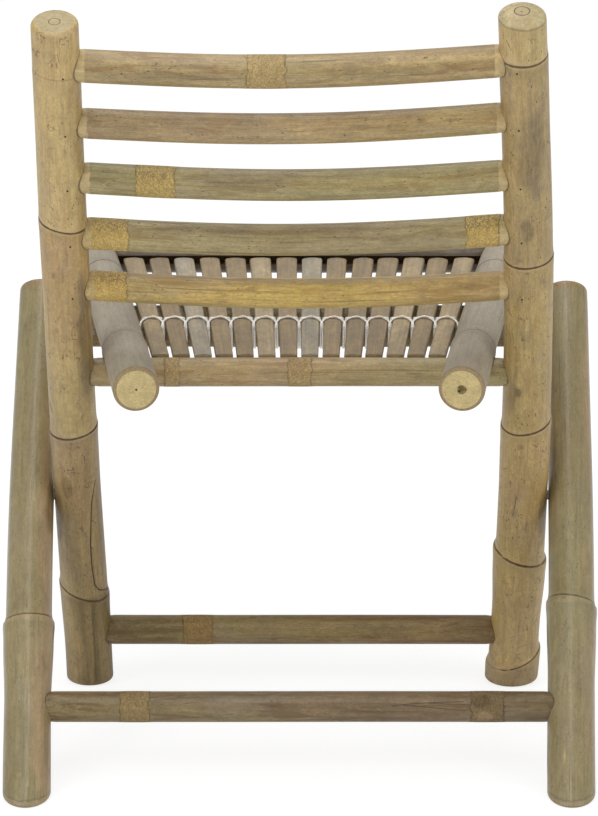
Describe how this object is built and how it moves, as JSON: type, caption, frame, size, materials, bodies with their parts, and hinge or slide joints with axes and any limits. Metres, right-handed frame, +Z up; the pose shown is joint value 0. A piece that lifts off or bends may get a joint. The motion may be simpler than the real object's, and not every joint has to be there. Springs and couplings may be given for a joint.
{
  "type": "folding bamboo lounge chair",
  "caption": "Folding lounge chair of thick bamboo: crossed posts and legs, a bowed rung backrest and a lift-up slatted seat that rests in saddles on two cross bars.",
  "frame": {"origin": "middle of the footprint, on the floor, at rest with the seat down", "axes": "+Z up; the chair faces -Y and the backrest leans towards +Y; +X is the sitter's left"},
  "size_m": [0.6028, 0.5618, 0.8057],
  "materials": {
    "post_cane": "weathered varnish",
    "leg_cane": "weathered varnish",
    "rung_cane": "weathered varnish",
    "bar_cane": "weathered varnish",
    "seat_cane": "weathered, dry",
    "slat_cane": "weathered, dry",
    "cord": "twisted cord",
    "pin_steel": "dull zinc",
    "nail_steel": "dark, rusted"
  },
  "bodies": {
    "back_frame": {"back_post_left": "post_cane", "back_post_right": "post_cane", "back_slat_1": "rung_cane", "back_slat_2": "rung_cane", "back_slat_3": "rung_cane", "back_slat_4": "rung_cane", "back_slat_5": "rung_cane", "seat_support_bar": "bar_cane", "post_stretcher": "bar_cane", "back_nail_1_left": "nail_steel", "back_nail_1_right": "nail_steel", "back_nail_2_left": "nail_steel", "back_nail_2_right": "nail_steel", "back_nail_3_left": "nail_steel", "back_nail_3_right": "nail_steel", "back_nail_4_left": "nail_steel", "back_nail_4_right": "nail_steel", "back_nail_5_left": "nail_steel", "back_nail_5_right": "nail_steel"},
    "leg_frame": {"leg_left": "leg_cane", "leg_right": "leg_cane", "leg_top_bar": "bar_cane", "leg_stretcher": "bar_cane", "pivot_pin_left": "pin_steel", "pivot_pin_right": "pin_steel"},
    "seat_frame": {"seat_rail_left": "seat_cane", "seat_rail_right": "seat_cane", "seat_front_rail": "seat_cane", "seat_rear_rail": "bar_cane", "seat_nail_left": "nail_steel", "seat_nail_right": "nail_steel", "seat_slat_01": "slat_cane", "seat_slat_02": "slat_cane", "seat_slat_03": "slat_cane", "seat_slat_04": "slat_cane", "seat_slat_05": "slat_cane", "seat_slat_06": "slat_cane", "seat_slat_07": "slat_cane", "seat_slat_08": "slat_cane", "seat_slat_09": "slat_cane", "seat_slat_10": "slat_cane", "seat_slat_11": "slat_cane", "seat_slat_12": "slat_cane", "seat_slat_13": "slat_cane", "seat_slat_14": "slat_cane", "seat_lashing_cord": "cord"}
  },
  "joints": [
    {"name": "frame_fold", "type": "hinge", "parent": "back_frame", "child": "leg_frame", "pos_m": [0, 0.01022, 0.23642], "axis": [-1, 0, 0], "range_deg": [0, 48]},
    {"name": "seat_swing", "type": "hinge", "parent": "back_frame", "child": "seat_frame", "pos_m": [0, 0.06563, 0.38785], "axis": [-1, 0, 0], "range_deg": [0, 76.8]}
  ],
  "couplings": [
    {"joint": "seat_swing", "follows": "frame_fold", "ratio": 1.6}
  ]
}
